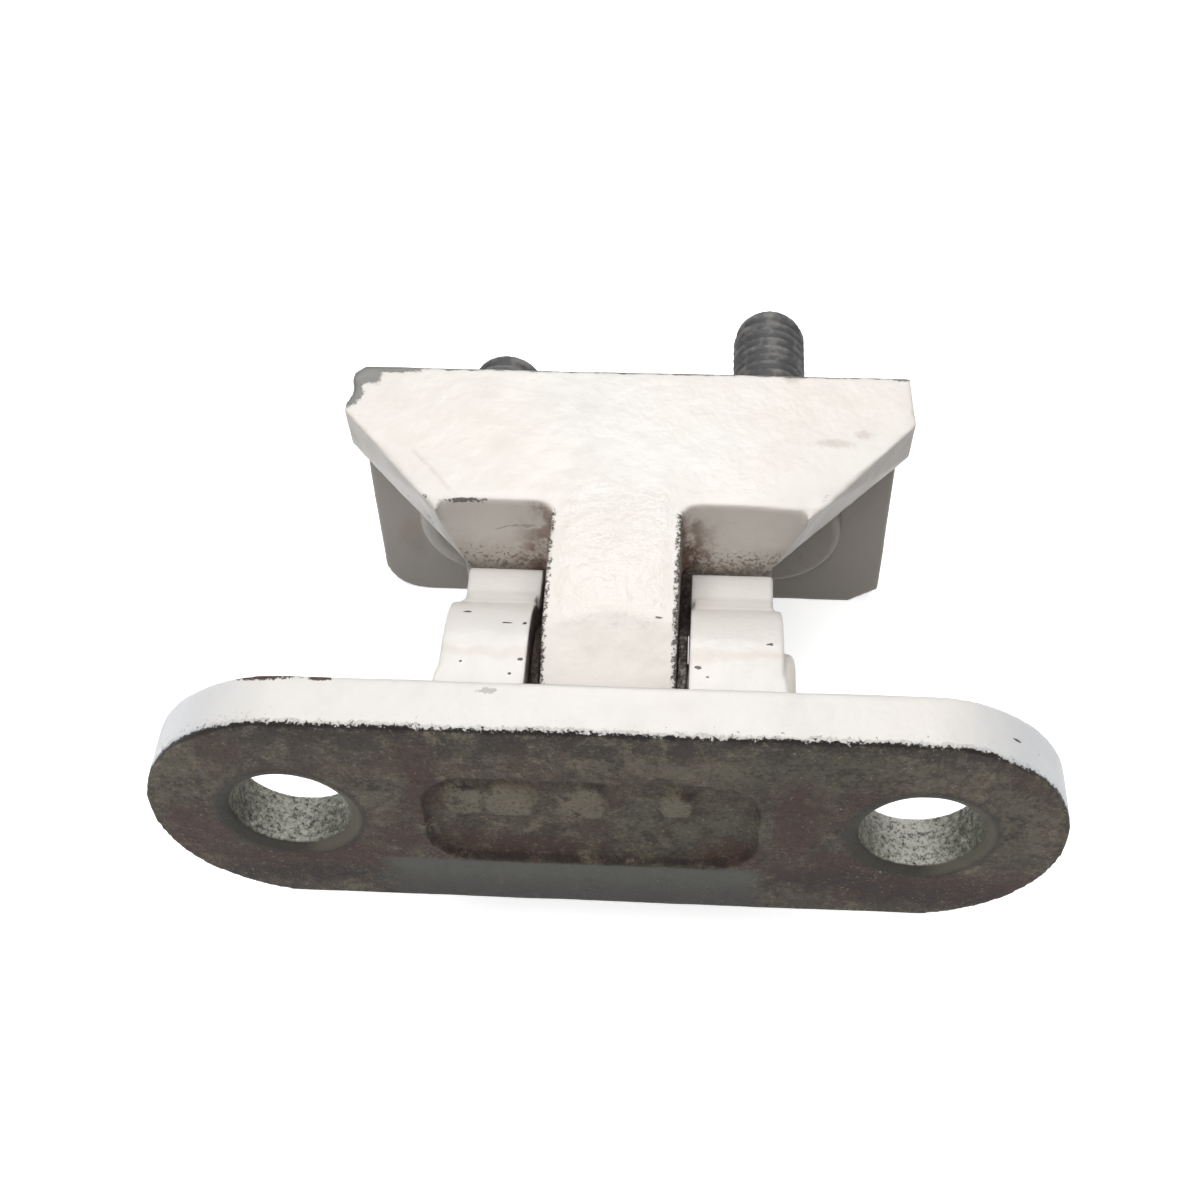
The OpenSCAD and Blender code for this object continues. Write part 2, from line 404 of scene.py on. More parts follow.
def thread_rod(name, x, start, turns, dome):
    """A closed threaded rod along Y with a domed end; returns it."""
    centre = Vector((x, start, stud_z)) * MM
    bpy.ops.mesh.primitive_circle_add(vertices=STEPS, radius=stud_r * MM, location=centre,
                                      rotation=(-math.pi / 2, 0, 0))
    rod = placed(name)
    for index, corner in enumerate(rod.data.vertices):
        valley = min(1, ROOT_FLAT * abs(2 * index / STEPS - 1))
        corner.co = centre + (corner.co - centre) * (1 - THREAD_DEPTH * valley / stud_r)
    edit(rod)
    bpy.ops.mesh.select_all(action="SELECT")
    for step in range(STEPS):
        bpy.ops.mesh.extrude_region_move(
            TRANSFORM_OT_translate={"value": (0, PITCH / STEPS * MM, 0)})
        bpy.ops.transform.rotate(value=2 * math.pi / STEPS, orient_axis="Y",
                                 center_override=centre)
    close_edit()
    finish_modifier(rod, "ARRAY", count=turns, use_relative_offset=False,
                    use_constant_offset=True, constant_offset_displace=(0, PITCH * MM, 0),
                    use_merge_vertices=True, merge_threshold=1e-5)
    end = start + turns * PITCH
    edit(rod)
    for ring in range(1, DOME_RINGS + 1):
        pick(rod, "EDGE", lambda edge: edge.is_boundary and
             min(corner.co.y for corner in edge.verts) > (end - PITCH) * MM)
        reach, height = quarter(ring)
        reach_before, height_before = quarter(ring - 1)
        rise = dome * (height - height_before)
        bpy.ops.mesh.extrude_edges_move(TRANSFORM_OT_translate={"value": (0, rise * MM, 0)})
        shrink = reach / reach_before
        bpy.ops.transform.resize(value=(shrink, 1, shrink), center_override=centre)
    bpy.ops.mesh.select_all(action="SELECT")
    bpy.ops.mesh.fill_holes(sides=0)
    bpy.ops.mesh.select_all(action="SELECT")
    bpy.ops.mesh.normals_make_consistent(inside=False)
    close_edit()
    return rod


# %% The head and shank, then the whole stud
HEAD_R = 7.4
HEAD_T = 2.0
HEAD_BEVEL = 1.2
PRESS_R = 4.38
RUN_OUT = 1.6
RUN_OUT_R = stud_r - 0.25
RUN_OUT_BEVEL = 0.3
THREAD_BURY = 0.6


def headed_stud(node, dome):
    """One stud: a bevelled head and shank, joined to its thread."""
    low, high = node_box(node)
    x = (low.x + high.x) / 2
    head_y = rear_front_y - HEAD_T
    body = cone_along_y(node + "_turned", x, stud_z, head_y, rear_front_y, HEAD_R, HEAD_R, 48)
    edit(body)
    pick(body, "FACE", lambda face: face.normal.y > 0.9)
    bpy.ops.mesh.inset(thickness=(HEAD_R - PRESS_R) * MM)
    bpy.ops.mesh.extrude_region_move(
        TRANSFORM_OT_translate={"value": (0, (rear_y - rear_front_y) * MM, 0)})
    bpy.ops.mesh.inset(thickness=(PRESS_R - RUN_OUT_R) * MM)
    bpy.ops.mesh.extrude_region_move(TRANSFORM_OT_translate={"value": (0, RUN_OUT * MM, 0)})
    pick(body, "EDGE", lambda edge: max(c.co.y for c in edge.verts) < (head_y + 0.1) * MM)
    bpy.ops.mesh.bevel(offset=HEAD_BEVEL * MM, segments=6, affect="EDGES")
    pick(body, "EDGE", lambda edge: min(c.co.y for c in edge.verts) > (rear_y + RUN_OUT - 0.1) * MM)
    bpy.ops.mesh.bevel(offset=RUN_OUT_BEVEL * MM, segments=2, affect="EDGES")
    close_edit()
    start = rear_y + RUN_OUT - THREAD_BURY
    turns = round((high.y - dome - start) / PITCH)
    start = high.y - dome - turns * PITCH
    carve(body, thread_rod(node + "_thread", x, start, turns, dome), "UNION")
    only(body)
    bpy.ops.object.shade_smooth_by_angle(angle=SMOOTH_ANGLE)
    report(body)
    return body


long_stud = headed_stud("stud_long", 2.4)
short_stud = headed_stud("stud_short", 1.4)

# %% [markdown]
# ## The pin
# The pin is pressed into both ears and turns only in the bushes. Its thin head stands on
# the right ear under the paint. It is a turned piece, so it starts as a cylinder along X,
# the head is inset and extruded from its end face, and the edges are bevelled.

# %% Turn the pin
PIN_R = 4.0
PIN_HEAD_T = 1.2
HEAD_ROUND = 0.8
END_ROUND = 0.6
ear_side = pin_high.x - PIN_HEAD_T
bpy.ops.mesh.primitive_cylinder_add(vertices=72, radius=PIN_R * MM,
                                    depth=(ear_side - pin_low.x) * MM,
                                    location=Vector(((ear_side + pin_low.x) / 2, pin_y, 0)) * MM,
                                    rotation=(0, math.pi / 2, 0))
pin = placed("hinge_pin_turned")
head_middle = Vector((ear_side, pin_y, 0)) * MM
edit(pin)
pick(pin, "FACE", lambda face: face.normal.x > 0.9)
bpy.ops.mesh.extrude_region_move()
head_spread = (pin_high.y - pin_y) / PIN_R
bpy.ops.transform.resize(value=(1, head_spread, head_spread), center_override=head_middle)
bpy.ops.mesh.extrude_region_move(
    TRANSFORM_OT_translate={"value": (PIN_HEAD_T * MM, 0, 0)})
pick(pin, "EDGE", lambda edge: min(c.co.x for c in edge.verts) > (pin_high.x - 0.1) * MM)
bpy.ops.mesh.bevel(offset=HEAD_ROUND * MM, segments=6, affect="EDGES")
pick(pin, "EDGE", lambda edge: max(c.co.x for c in edge.verts) < (pin_low.x + 0.1) * MM)
bpy.ops.mesh.bevel(offset=END_ROUND * MM, segments=4, affect="EDGES")
close_edit()
bpy.ops.object.shade_smooth_by_angle(angle=SMOOTH_ANGLE)
report(pin)

# %% [markdown]
# ## The flanged bushes
# Each bush is a thin sleeve with a collar that fills the gap beside the tongue. A turned
# piece is its half outline spun about its axis, so four corners of sleeve and collar are
# drawn as an edge loop, spun round the pin axis, and merged where the turn closes.

# %% Spin one bush and mirror it
BORE_R = 4.03
SLEEVE_R = 5.0
COLLAR_BEVEL = 0.25


def spun_bush(name, side):
    """A flanged bush on the pin axis; side is 1 for the right one and -1 for the left."""
    inner, outer = side * bush_low.x, side * bush_high.x
    shoulder = side * tongue_half
    collar_r = bush_high.y - pin_y
    corners = [(inner, BORE_R), (inner, SLEEVE_R), (shoulder, SLEEVE_R), (shoulder, collar_r),
               (outer, collar_r), (outer, BORE_R)]
    bpy.ops.mesh.primitive_circle_add(vertices=len(corners), radius=MM)
    bush = placed(name)
    for vertex, (along, radius) in zip(bush.data.vertices, corners):
        vertex.co = Vector((along, pin_y, radius)) * MM
    edit(bush)
    pick(bush, "EDGE", lambda edge: True)
    bpy.ops.mesh.spin(steps=72, angle=2 * math.pi, center=Vector((0, pin_y, 0)) * MM,
                      axis=(1, 0, 0))
    bpy.ops.mesh.select_all(action="SELECT")
    bpy.ops.mesh.remove_doubles(threshold=1e-6)
    bpy.ops.mesh.normals_make_consistent(inside=False)
    rim = (collar_r - 0.05) * MM
    pick(bush, "EDGE", lambda edge: all(
        math.hypot(c.co.y - pin_y * MM, c.co.z) > rim for c in edge.verts)
        and abs(edge.verts[0].co.x - edge.verts[1].co.x) < 1e-7)
    bpy.ops.mesh.bevel(offset=COLLAR_BEVEL * MM, segments=3, affect="EDGES")
    close_edit()
    bpy.ops.object.shade_smooth_by_angle(angle=SMOOTH_ANGLE)
    report(bush)
    return bush


bush_right = spun_bush("bush_right_turned", 1)
bush_left = spun_bush("bush_left_turned", -1)

# %% [markdown]
# ## Shader maths as plain expressions
# A worn finish is mostly arithmetic on masks. Writing each Math node by hand hides that
# arithmetic, so a small class wraps a socket and turns + - and * into nodes.

# %% A socket that can be added and multiplied


class Wire:
    """One output socket of a material; arithmetic on it adds Math nodes."""

    def __init__(self, tree, socket):
        self.tree = tree
        self.socket = socket

    def node(self, kind, settings, sockets, output=0):
        """Adds any node: its settings are set first, then its sockets' values or links."""
        made = self.tree.nodes.new("ShaderNode" + kind)
        for setting, value in settings.items():
            if setting == "stops":
                ramp = made.color_ramp.elements
                while len(ramp) < len(value):
                    ramp.new(0.5)
                for stop, (position, colour) in zip(ramp, value):
                    stop.position = position
                    stop.color = (*colour, 1)
            else:
                setattr(made, setting, value)
        for name, value in sockets.items():
            if isinstance(value, Wire):
                self.tree.links.new(value.socket, made.inputs[name])
            elif isinstance(value, tuple) and len(made.inputs[name].default_value) == 4:
                made.inputs[name].default_value = (*value, 1)
            else:
                made.inputs[name].default_value = value
        return Wire(self.tree, made.outputs[output])

    def maths(self, operation, first, second=0.0):
        return self.node("Math", {"operation": operation}, {0: first, 1: second})

    def __add__(self, other):
        return self.maths("ADD", self, other)

    def __radd__(self, other):
        return self.maths("ADD", other, self)

    def __sub__(self, other):
        return self.maths("SUBTRACT", self, other)

    def __rsub__(self, other):
        return self.maths("SUBTRACT", other, self)

    def __mul__(self, other):
        return self.maths("MULTIPLY", self, other)

    def __rmul__(self, other):
        return self.maths("MULTIPLY", other, self)

    def __pow__(self, other):
        return self.maths("POWER", self, other)

    def __abs__(self):
        return self.maths("ABSOLUTE", self)

    def at_most(self, other):
        return self.maths("MINIMUM", self, other)

    def at_least(self, other):
        return self.maths("MAXIMUM", self, other)

    def rise(self, start, end):
        """0 below start and 1 above end, or the other way round if end is less."""
        return self.node("MapRange", {"interpolation_type": "SMOOTHSTEP"},
                         {"Value": self, "From Min": start, "From Max": end})


# %% [markdown]
# ## What all finishes share
# Every finish reads the object's own coordinates, scaled to millimetres, so a scratch stays
# where it is when the leaf turns. A finish is stirred from the same few ingredients: cloudy
# noise at different sizes, spots, a worn-edge mask, and colours laid over each other.

# %% A finish and its ingredients


class Finish:
    """A material with helpers that place patterns in millimetres."""

    def __init__(self, name):
        self.material = bpy.data.materials.new(name)
        self.material.use_nodes = True
        self.tree = self.material.node_tree
        self.shader = self.tree.nodes["Principled BSDF"]
        self.start = Wire(self.tree, None)
        self.clouds = {}
        place = self.start.node("TexCoord", {}, {}, "Object")
        self.place = self.vector("SCALE", place, Scale=1 / MM)
        self.x, self.y, self.z = [self.start.node("SeparateXYZ", {}, {0: self.place}, axis)
                                  for axis in range(3)]

    def vector(self, operation, first, second=(0, 0, 0), output=0, **more):
        """Adds one Vector Math node."""
        return self.start.node("VectorMath", {"operation": operation},
                               {0: first, 1: second, **more}, output)

    def cloud(self, size, detail=3.0, rough=0.5, shift=0.0, stretch=(1, 1, 1)):
        """Noise from 0 to 1 whose blots are about this many mm across."""
        recipe = (size, detail, rough, shift, stretch)
        if recipe not in self.clouds:
            where = self.start.node("Mapping", {}, {"Vector": self.place,
                                                    "Location": (shift, shift, shift),
                                                    "Scale": stretch})
            self.clouds[recipe] = self.start.node(
                "TexNoise", {}, {"Vector": where, "Scale": 1 / size, "Detail": detail,
                                 "Roughness": rough})
        return self.clouds[recipe]

    def spots(self, spacing, radius, share, shift=0.0):
        """Round flecks: about this share of cells of this spacing hold one."""
        where = self.start.node("Mapping", {}, {"Vector": self.place,
                                                "Location": (shift, shift, shift)})
        wobble = self.cloud(radius * 1.3, 1) * radius
        near = self.start.node("TexVoronoi", {}, {"Vector": where, "Scale": 1 / spacing})
        cell = self.start.node("TexVoronoi", {}, {"Vector": where, "Scale": 1 / spacing}, "Color")
        chance = self.start.node("SeparateColor", {}, {0: cell}, 0)
        close = (near * spacing + wobble).rise(radius * 1.5, radius * 1.2)
        return close * chance.rise(share + 0.01, share)

    def worn_edges(self, low, high):
        """1 on sharp outer edges, from the mesh's own curvature."""
        point = self.start.node("NewGeometry", {}, {}, "Pointiness")
        return point.rise(low, high)

    def patch(self, centre, size, ragged=0.35, soft=0.15):
        """A ragged round patch in mm; size gives its half lengths along X, Y and Z."""
        grain = 0.3 if min(size) < 0.6 else 1.2
        scaled = self.vector("DIVIDE", self.vector("SUBTRACT", self.place, centre), size)
        frayed = (self.vector("LENGTH", scaled, output="Value")
                  + (self.cloud(grain, 4, 0.6, shift=13) - 0.5) * (ragged * 4))
        return frayed.rise(1 + soft, 1 - soft)

    def patches(self, marks, **how):
        """Several patches joined into one mask."""
        joined = self.patch(*marks[0], **how)
        for centre, size in marks[1:]:
            joined = joined.at_least(self.patch(centre, size, **how))
        return joined

    def lay(self, below, above, amount):
        """Lays one colour over another where amount is 1."""
        return self.start.node("Mix", {"data_type": "RGBA"},
                               {0: amount, 6: below, 7: above}, 2)

    def ramp(self, value, stops):
        return self.start.node("ValToRGB", {"stops": stops}, {0: value})

    def wear(self, colour, rough, height, metal=0.0):
        """Feeds the shader: colour, roughness, a height in mm for the bump, and metal."""
        bump = self.start.node("Bump", {}, {"Height": height, "Distance": MM, "Strength": 1.0})
        for name, value in (("Base Color", colour), ("Roughness", rough), ("Normal", bump),
                            ("Metallic", metal)):
            if isinstance(value, Wire):
                self.tree.links.new(value.socket, self.shader.inputs[name])
            else:
                self.shader.inputs[name].default_value = value

    def put_on(self, *pieces):
        for piece in pieces:
            piece.data.materials.clear()
            piece.data.materials.append(self.material)
        print(self.material.name, "has", len(self.tree.nodes), "nodes")


# %% [markdown]
# ## Old white paint
# The leaves are dipped or sprayed with a thick, warm white paint. It has a faint orange
# peel, a little grime in the hollows and dark flecks where it has chipped. The same recipe
# serves both leaves, and each leaf then adds its own wear over it.

# %% Stir the paint
WARM_WHITE = (0.84, 0.81, 0.765)
PINK_WHITE = (0.85, 0.80, 0.745)
GRIME = (0.30, 0.25, 0.20)
PRIMER_BROWN = (0.09, 0.06, 0.045)
BARE_STEEL = (0.30, 0.295, 0.28)
RUST = (0.105, 0.045, 0.034)
GREASE = (0.06, 0.036, 0.025)


def old_paint(finish):
    """Colour, roughness and height of plain old paint, before any wear."""
    tone = finish.cloud(14, 3, 0.5).rise(0.35, 0.65)
    colour = finish.lay(WARM_WHITE, PINK_WHITE, tone)
    film = finish.cloud(5, 5, 0.6, shift=31).rise(0.45, 0.8)
    colour = finish.lay(colour, GRIME, film * 0.10)
    peel = finish.cloud(1.8, 2, 0.5, shift=2) * 0.10 + finish.cloud(0.6, 2, 0.5, shift=9) * 0.03
    rough = 0.26 + film * 0.15 + finish.cloud(2.5, 2, 0.5, shift=5) * 0.10
    return colour, rough, peel


# %% [markdown]
# ## Finish of the stud leaf
# The wings' front faces hold rusty dirt in their inner and lower corners, the tongue's
# edges have lost small flakes of paint, and the rear left corner is rubbed down to metal.
# Painted shade greys the wings' fronts, the slanted sides and the rear flange under the plate.
# Each mark is a mask made from the place on the leaf, frayed by noise so that no edge of a
# stain is straight, and the colours are laid over each other in the order they came.

# %% Grease and flaked edges of the tongue
FLAKE_DARK = (0.12, 0.105, 0.09)
leaf_paint = Finish("old_white_paint_stud_leaf")
colour, rough, height = old_paint(leaf_paint)
x, y, z = leaf_paint.x, leaf_paint.y, leaf_paint.z
from_middle = abs(x)

before_wings = y.rise(front_y + 0.6, front_y - 0.4)
tongue_side = from_middle.rise(tongue_half - 0.22, tongue_half - 0.10) * before_wings
side_dirt = tongue_side * (leaf_paint.cloud(1.5, 5, 0.7, shift=4) + 0.25).at_most(1.0)
colour = leaf_paint.lay(colour, GREASE, side_dirt * 0.9)

edge_strip = from_middle.rise(tongue_half - 0.75, tongue_half - 0.15) * before_wings
crumbs = leaf_paint.cloud(0.36, 5, 0.78, shift=3)
more_on_right = x.rise(0, 1) * 0.03
flaked = (crumbs + more_on_right + edge_strip * 0.12).rise(0.60, 0.65) * edge_strip.rise(0.0, 0.3)
colour = leaf_paint.lay(colour, FLAKE_DARK, flaked)
print("the tongue's edges flake at x =", round(tongue_half, 2))

# %% Dirt and painted shade on the wings' fronts and sides
FRONT_FACE_SHADE = (0.46, 0.42, 0.37)
RUSTY_FILM = (0.42, 0.31, 0.24)
RUST_STAIN = (0.13, 0.06, 0.04)
PIT_DARK = (0.09, 0.06, 0.05)
WARM_SIDE_SHADE = (0.46, 0.37, 0.29)
UNDER_PLATE_SHADE = (0.42, 0.38, 0.33)
CRACK_BROWN = (0.26, 0.17, 0.13)
wing_front = (y.rise(front_y + 1.9, front_y + 1.5) * z.rise(plate_top - 0.1, plate_top - 0.9)
              * from_middle.rise(tongue_half - 0.15, tongue_half + 0.1))
inner = from_middle.rise(tongue_half + 5.0, tongue_half + 0.5)
lower = z.rise(7.5, 3.5)
blots = leaf_paint.cloud(2.2, 5, 0.65, shift=17)
# Painted shade: the wings' front faces are greyed all over, more towards the bottom.
colour = leaf_paint.lay(colour, FRONT_FACE_SHADE, wing_front * (0.36 + lower * 0.12))
film = wing_front * (inner * 0.75 + lower * 0.55).at_most(1.0)
colour = leaf_paint.lay(colour, RUSTY_FILM, film * blots.rise(0.30, 0.60) * 0.55)
stain = film * inner * blots.rise(0.44, 0.60)
colour = leaf_paint.lay(colour, RUST_STAIN, stain * 0.8)
pits = wing_front * lower * inner * leaf_paint.cloud(0.9, 4, 0.6, shift=23).rise(0.62, 0.68)
colour = leaf_paint.lay(colour, PIT_DARK, pits * 0.8)
# Painted shade: a warm grey over the slanted sides and the rear flange's ends, heavier on the
# right.
band = (z.rise(plate_top - 0.3, plate_top - 1.5) * y.rise(front_y + 2.2, front_y + 3.5)
        * from_middle.rise(14.0, 17.0))
colour = leaf_paint.lay(colour, WARM_SIDE_SHADE, band * (0.22 + x.rise(-5.0, 5.0) * 0.30))
# Painted shade: the rear flange's faces under the plate are greyed, darker towards the bottom.
hanging = (y.rise(rear_front_y - 0.8, rear_front_y - 0.2) * z.rise(4.0, 2.0)
           * y.rise(rear_y - 0.8, rear_y - 1.6))
colour = leaf_paint.lay(colour, UNDER_PLATE_SHADE, hanging * (0.35 + z.rise(-6.0, -18.0) * 0.35))
crack_path = abs(z - 8.3 - x * 0.12 + (leaf_paint.cloud(3.0, 3, 0.6, shift=29) - 0.5) * 3.0)
crack = crack_path.rise(0.14, 0.05) * wing_front * x.rise(-7.6, -8.2) * x.rise(-12.0, -11.0)
colour = leaf_paint.lay(colour, CRACK_BROWN, crack * 0.5)

# %% Bare metal of the stud leaf
RUSTY_STEEL = (0.24, 0.17, 0.13)
rubbed = leaf_paint.patches([
    ((plate_left + 0.7, rear_y - 0.8, plate_top), (2.6, 2.4, 1.6)),
    ((plate_left + 0.4, rear_y - 3.6, plate_top), (1.2, 2.4, 1.2)),
    ((plate_left + 4.0, rear_y - 0.3, plate_top), (3.4, 0.8, 1.2)),
    ((plate_right - 1.2, rear_y - 0.1, plate_top), (1.0, 0.5, 1.2))])
fray = (leaf_paint.cloud(1.6, 5, 0.7, shift=41) - 0.5) * 1.1
rear_line = (y + fray).rise(rear_y - 0.50, rear_y - 0.25) * z.rise(plate_top - 2.0, plate_top - 0.6)
rubbed = rubbed.at_least(rear_line)
colour = leaf_paint.lay(colour, BARE_STEEL, rubbed)
rusty = leaf_paint.cloud(4.0, 2, 0.5, shift=44).rise(0.45, 0.6)
colour = leaf_paint.lay(colour, RUSTY_STEEL, rear_line * rusty * 0.7)
print("bare line along the rear edge at y =", round(rear_y, 2))

# %% Chips and smudges of the stud leaf
OLD_CHIP = (0.19, 0.17, 0.155)
SMUDGE = (0.42, 0.32, 0.26)
edge_wear = (leaf_paint.worn_edges(0.56, 0.62)
             * leaf_paint.cloud(1.6, 4, 0.65, shift=51).rise(0.62, 0.68))
flecks = leaf_paint.spots(7.0, 0.16, 0.22)
nicks = leaf_paint.patches([
    ((-18.4, 29.0, plate_top - 0.3), (0.45, 0.5, 0.3)),
    ((-14.6, 28.6, plate_top - 0.2), (2.4, 0.18, 0.4)),
    ((19.6, 29.8, plate_top - 0.3), (1.2, 1.0, 0.22)),
    ((4.3, 15.5, plate_top - 0.6), (0.35, 0.10, 0.4))], ragged=0.5)
chips = edge_wear.at_least(flecks).at_least(nicks)
colour = leaf_paint.lay(colour, OLD_CHIP, chips)

smudges = leaf_paint.patches([
    ((20.2, 37.0, plate_top), (1.6, 0.5, 1.0)), ((23.0, 38.3, plate_top), (0.7, 0.5, 1.0)),
    ((16.3, rear_y - 0.6, plate_top), (0.8, 0.6, 1.0)),
    ((-22.6, rear_front_y, -9.5), (1.4, 1.0, 3.0))],
    soft=0.6)
INWARD_X, INWARD_Y = 0.772, 0.635
inward = (x - left_tip[0]) * INWARD_X + (y - left_tip[1]) * INWARD_Y
ridge_line = abs(inward - 2.5).rise(0.4, 0.05) * y.rise(36, 34) * y.rise(28, 30) * z.rise(9.5, 10.0)
colour = leaf_paint.lay(colour, SMUDGE,
                        (smudges * 0.35).at_least(ridge_line * blots.rise(0.45, 0.6) * 0.2))

lost = flaked.at_least(rubbed).at_least(chips)
glossy = from_middle.rise(5.5, 4.0) * y.rise(13.0, 17.0) * y.rise(33.0, 27.0)
wrinkles = leaf_paint.cloud(1.3, 4, 0.6, shift=47) * glossy
leaf_paint.wear(colour, rough + lost * 0.25 + film * 0.25 - glossy * 0.08,
                height + wrinkles * 0.22 - lost * 0.06, rubbed * 0.5)
leaf_paint.put_on(stud)

# %% [markdown]
# ## Finish of the pillar leaf
# The paint stops in a ragged line at the mounting face, which was never painted and has
# gone grey, olive and rust red. The bores are bright metal inside, with a painted pool of light
# on their lower halves. The face could be painted by hand, but masks in millimetres stay sharp
# at any distance. A bump works out its height three times over, so only the broad patterns
# feed it and the small chips stay flat.

# %% Paint of the pillar leaf
SHADED_WHITE = (0.62, 0.61, 0.59)
COOL_END_SHADE = (0.74, 0.78, 0.84)
DUSTY = (0.55, 0.45, 0.36)
post_paint = Finish("old_white_paint_pillar_leaf")
colour, rough, height = old_paint(post_paint)
x, y, z = post_paint.x, post_paint.y, post_paint.z
# Painted shade: the pillar leaf's paint is laid over with a duller grey copy of the white.
colour = post_paint.lay(colour, SHADED_WHITE, 0.28)

# Painted shade: a cool grey tint on the flange's round ends, strongest at the front.
cool_end_shade = abs(x).rise(26, 38) * y.rise(pillar_high.y, 2.0) * 0.7
colour = post_paint.lay(colour, COOL_END_SHADE, cool_end_shade)
dirt_line = abs(y - 11.9 + (post_paint.cloud(4.0, 3, 0.5, shift=8) - 0.5) * 3.0)
colour = post_paint.lay(colour, DUSTY, dirt_line.rise(0.8, 0.1) * z.rise(7.0, 8.5) * 0.22)
cheek = abs(x).rise(cheek_x + 0.17, cheek_x + 0.08) * y.rise(5.0, 5.8)
greasy = (post_paint.cloud(1.5, 5, 0.7, shift=4) + 0.3).at_most(1.0)
colour = post_paint.lay(colour, GREASE, cheek * greasy)
print("greasy cheeks at x = +-", round(cheek_x, 2))

# %% Chips of the pillar leaf
SCUFF_GREY = (0.42, 0.40, 0.37)
flecks = post_paint.spots(4.2, 0.13, 0.40, shift=7)
edge_wear = (post_paint.worn_edges(0.57, 0.62)
             * post_paint.cloud(2.6, 4, 0.6, shift=61).rise(0.64, 0.68))
nicks = post_paint.patches([
    ((-28.4, 5.3, 13.0), (2.6, 0.45, 0.9)), ((-23.7, 5.1, 13.2), (0.9, 0.3, 0.6)),
    ((-12.86, 16.9, 8.2), (0.34, 0.16, 0.5)), ((-9.2, 15.3, 8.8), (0.5, 0.10, 0.5)),
    ((-7.6, 15.3, 8.8), (0.18, 0.2, 0.4)), ((-7.6, 11.0, 9.1), (0.26, 0.18, 0.5)),
    ((-12.8, 10.6, 9.1), (0.12, 0.12, 0.5)), ((-8.4, 9.4, 9.1), (0.14, 0.12, 0.5)),
    ((14.1, 13.5, 9.1), (0.32, 0.16, 0.5)), ((7.8, 10.7, 9.1), (0.34, 0.22, 0.5)),
    ((8.7, 9.7, 9.1), (0.13, 0.10, 0.5)), ((34.2, 2.8, 11.0), (0.4, 0.12, 0.6))], ragged=0.5)
scuff = post_paint.patch((-9.6, 4.4, 13.25), (0.8, 0.3, 0.6), ragged=0.6)
colour = post_paint.lay(colour, SCUFF_GREY, scuff * 0.8)
near_edge = y.rise(2.4, 0.4)
at_left = x.rise(-22, -36)
dust = near_edge * (post_paint.cloud(0.45, 4, 0.7, shift=65) + at_left * 0.07).rise(0.64, 0.68)
chips = flecks.at_least(edge_wear).at_least(nicks).at_least(dust)
colour = post_paint.lay(colour, PRIMER_BROWN, chips)

# %% Where the pillar leaf is bare
ragged = ((post_paint.cloud(0.45, 6, 0.75, shift=71) - 0.5) * 1.9
          + (post_paint.cloud(4.0, 2, 0.5, shift=73) - 0.5) * 0.8)
paint_line = y - 0.42 - ragged - at_left * 0.25
bare = paint_line.rise(0.06, -0.06)
POCKET_HALF_W = 14.5
POCKET_HALF_H = 6.3
POCKET_R = 4.0
beyond_x = (abs(x - POCKET_MIDDLE) - (POCKET_HALF_W - POCKET_R)).at_least(0)
beyond_z = (abs(z) - (POCKET_HALF_H - POCKET_R)).at_least(0)
from_pocket = (beyond_x ** 2 + beyond_z ** 2) ** 0.5 - POCKET_R
in_pocket = from_pocket.rise(0.6, 0.4) * y.rise(1.5, 1.3)
bolt_axis = post_paint.start.node("CombineXYZ", {}, {0: abs(x) - bolt_x, 2: z})
from_bolt = post_paint.vector("LENGTH", bolt_axis, output="Value")
in_bore = from_bolt.rise(bolt_r + 0.2, bolt_r + 0.08)
in_rim = (from_bolt.rise(bolt_r + RIM + 0.15, bolt_r + RIM)
          * y.rise(RIM_DEPTH + 0.5, RIM_DEPTH + 0.3))
bare = bare.at_least(in_pocket).at_least(in_rim).at_least(in_bore)
print("bare: face, pocket, and bores of radius", bolt_r)

# %% The corroded mounting face
PALE_ZINC = (0.36, 0.315, 0.23)
SAND = (0.19, 0.175, 0.125)
UMBER = (0.12, 0.075, 0.052)
OLIVE = (0.21, 0.215, 0.15)
WORN_PAD = (0.42, 0.37, 0.27)
SOOT = (0.045, 0.035, 0.03)
mottle = post_paint.cloud(2.0, 9, 0.80, shift=81)
broad = post_paint.cloud(5.0, 4, 0.55, shift=84)
grit = post_paint.cloud(0.38, 4, 0.8, shift=83)
zinc = post_paint.ramp(mottle, [(0.37, (0.035, 0.027, 0.022)), (0.46, (0.115, 0.092, 0.07)),
                                (0.54, (0.23, 0.19, 0.14)), (0.63, (0.46, 0.40, 0.29))])
pale = post_paint.patches([
    ((-20.0, 0, 3.0), (4.0, 9.0, 5.0)), ((-36.0, 0, 5.0), (3.5, 9.0, 4.0)),
    ((24.0, 0, 9.0), (7.0, 9.0, 2.5)), ((36.0, 0, 4.0), (3.5, 9.0, 6.0)),
    ((7.0, 0, 9.0), (7.0, 9.0, 1.6))], ragged=0.6, soft=0.6)
zinc = post_paint.lay(zinc, PALE_ZINC, pale * mottle.rise(0.40, 0.54) * 0.6)
zinc = post_paint.lay(zinc, SAND, broad.rise(0.52, 0.62) * 0.45)
zinc = post_paint.lay(zinc, UMBER, broad.rise(0.49, 0.40) * 0.6)
olive = post_paint.patches([
    ((8.0, 0.3, -0.5), (7.0, 2.0, 4.6)), ((17.0, 0.3, 9.5), (5.0, 2.0, 3.0))], ragged=0.6, soft=0.6)
zinc = post_paint.lay(zinc, OLIVE, olive * mottle.rise(0.40, 0.55) * 0.7)
pads = post_paint.patches([((POCKET_MIDDLE + pad_x, 0.2, PAD_Z), (pad_w * 0.6, 2.0, pad_h * 0.6))
                           for pad_x, pad_w, pad_h in PADS], ragged=0.3, soft=0.2)
